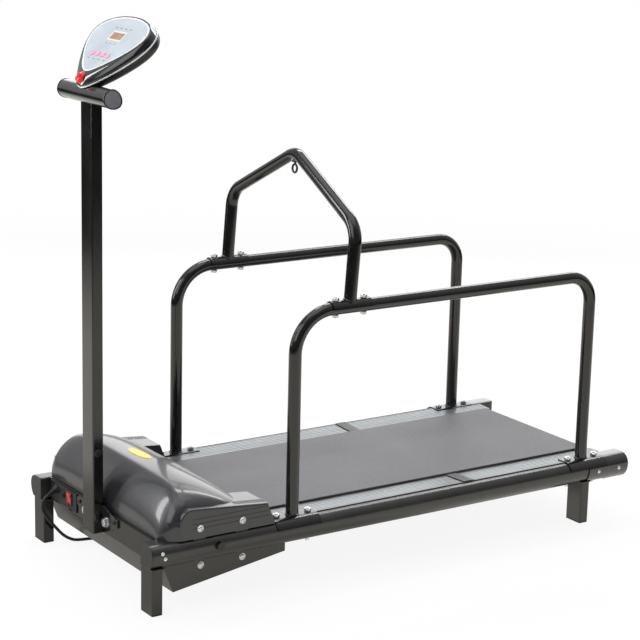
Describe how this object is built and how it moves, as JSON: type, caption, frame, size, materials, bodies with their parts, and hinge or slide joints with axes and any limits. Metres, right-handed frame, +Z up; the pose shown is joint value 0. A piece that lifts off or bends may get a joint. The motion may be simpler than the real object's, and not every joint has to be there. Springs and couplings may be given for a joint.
{
  "type": "dog treadmill",
  "caption": "Motorised dog treadmill with a running belt between D-section rails, a moulded motor hood, U-shaped handrails, a leash arch and a tilted console on a mast.",
  "frame": {"origin": "on the floor, below the middle of the machine's length and width", "axes": "+X from the console end to the rear end, +Y from left to right, +Z up"},
  "size_m": [1.311, 0.5864, 1.1956],
  "materials": {
    "powder_coat": "semi-gloss black powder coat on steel tube",
    "gloss_black": "glossy black moulded ABS",
    "soft_black": "fine-grained black nylon",
    "cord_pvc": "smooth black PVC sheath",
    "zinc": "bright zinc plate",
    "roller_steel": "turned steel",
    "strip_aluminium": "satin anodised aluminium",
    "trim_silver": "silver lacquer on plastic",
    "belt_rubber": "grey PVC running belt, finely textured",
    "drive_rubber": "ribbed rubber drive belt",
    "deck_wood": "waxed fibreboard",
    "pulley_iron": "machined cast iron",
    "motor_grey": "grey enamel",
    "cap_grey": "grey plastic end cap",
    "face_silver": "printed silver-blue film",
    "amber": "smoked amber window",
    "board_green": "circuit board",
    "button_pink": "soft pink push buttons",
    "signal_red": "glossy red plastic"
  },
  "bodies": {
    "frame": {"left_side_rail": "powder_coat", "right_side_rail": "powder_coat", "rail_front_caps": "gloss_black", "rail_rear_caps": "gloss_black", "front_beam": "powder_coat", "cross_beams": "powder_coat", "legs": "powder_coat", "tube_plugs": "soft_black", "deck_board": "deck_wood", "running_belt": "belt_rubber", "side_strips": "strip_aluminium", "strip_clips": "soft_black", "roller_axles": "roller_steel", "roller_hangers": "powder_coat", "frame_bolts": "zinc", "drive_motor": "motor_grey", "motor_plate": "powder_coat", "drive_belt": "drive_rubber", "motor_controller": "motor_grey", "belly_pan": "powder_coat", "rail_tabs": "powder_coat", "cover_bolts": "zinc", "motor_hood": "gloss_black", "hood_cheeks": "gloss_black", "power_panel": "soft_black", "switch_frame": "gloss_black", "cord_gland": "soft_black", "power_cord": "cord_pvc", "cord_coil": "cord_pvc", "cord_tie": "soft_black", "power_plug": "soft_black", "mast": "powder_coat", "mast_wings": "powder_coat", "mast_bolts": "zinc", "t_bar": "gloss_black", "t_bar_caps": "cap_grey", "console_shell": "gloss_black", "console_trim": "trim_silver", "console_bezel": "gloss_black", "face_plate": "face_silver", "display_window": "amber", "console_board": "board_green", "left_handrail": "powder_coat", "right_handrail": "powder_coat", "saddle_feet": "powder_coat", "saddle_bolts": "zinc", "arch": "powder_coat", "leash_eye": "zinc"},
    "front_roller_set": {"front_roller": "roller_steel", "front_bearings": "roller_steel", "drive_pulley": "pulley_iron"},
    "rear_roller_set": {"rear_roller": "roller_steel", "rear_bearings": "roller_steel"},
    "motor_rotor": {"motor_pulley": "pulley_iron"},
    "power_rocker": {"rocker": "signal_red"},
    "start_push": {"start_button": "button_pink"},
    "stop_push": {"stop_button": "button_pink"},
    "faster_push": {"faster_button": "button_pink"},
    "slower_push": {"slower_button": "button_pink"},
    "pull_key": {"safety_key": "signal_red"}
  },
  "joints": [
    {"name": "front_roller_spin", "type": "hinge", "parent": "frame", "child": "front_roller_set", "pos_m": [-0.38988, 0, 0.1302], "axis": [0, 1, 0], "continuous": true},
    {"name": "rear_roller_spin", "type": "hinge", "parent": "frame", "child": "rear_roller_set", "pos_m": [0.59236, 0, 0.1302], "axis": [0, 1, 0], "continuous": true},
    {"name": "motor_spin", "type": "hinge", "parent": "frame", "child": "motor_rotor", "pos_m": [-0.52964, 0, 0.162], "axis": [0, 1, 0], "continuous": true},
    {"name": "power_switch", "type": "hinge", "parent": "frame", "child": "power_rocker", "pos_m": [-0.61064, 0.133, 0.132], "axis": [0, 1, 0], "range_deg": [0, 18]},
    {"name": "start_press", "type": "slide", "parent": "frame", "child": "start_push", "axis": [0.6756, 0, -0.7373], "range_m": [0, 0.0012], "stiffness_N_per_m": 900, "springref_m": -0.0006},
    {"name": "stop_press", "type": "slide", "parent": "frame", "child": "stop_push", "axis": [0.6756, 0, -0.7373], "range_m": [0, 0.0012], "stiffness_N_per_m": 900, "springref_m": -0.0006},
    {"name": "faster_press", "type": "slide", "parent": "frame", "child": "faster_push", "axis": [0.6756, 0, -0.7373], "range_m": [0, 0.0012], "stiffness_N_per_m": 900, "springref_m": -0.0006},
    {"name": "slower_press", "type": "slide", "parent": "frame", "child": "slower_push", "axis": [0.6756, 0, -0.7373], "range_m": [0, 0.0012], "stiffness_N_per_m": 900, "springref_m": -0.0006},
    {"name": "key_pull", "type": "slide", "parent": "frame", "child": "pull_key", "axis": [-0.6756, 0, 0.7373], "range_m": [0, 0.03]}
  ],
  "couplings": [
    {"joint": "rear_roller_spin", "follows": "front_roller_spin", "ratio": 1},
    {"joint": "motor_spin", "follows": "front_roller_spin", "ratio": 2.7143}
  ]
}
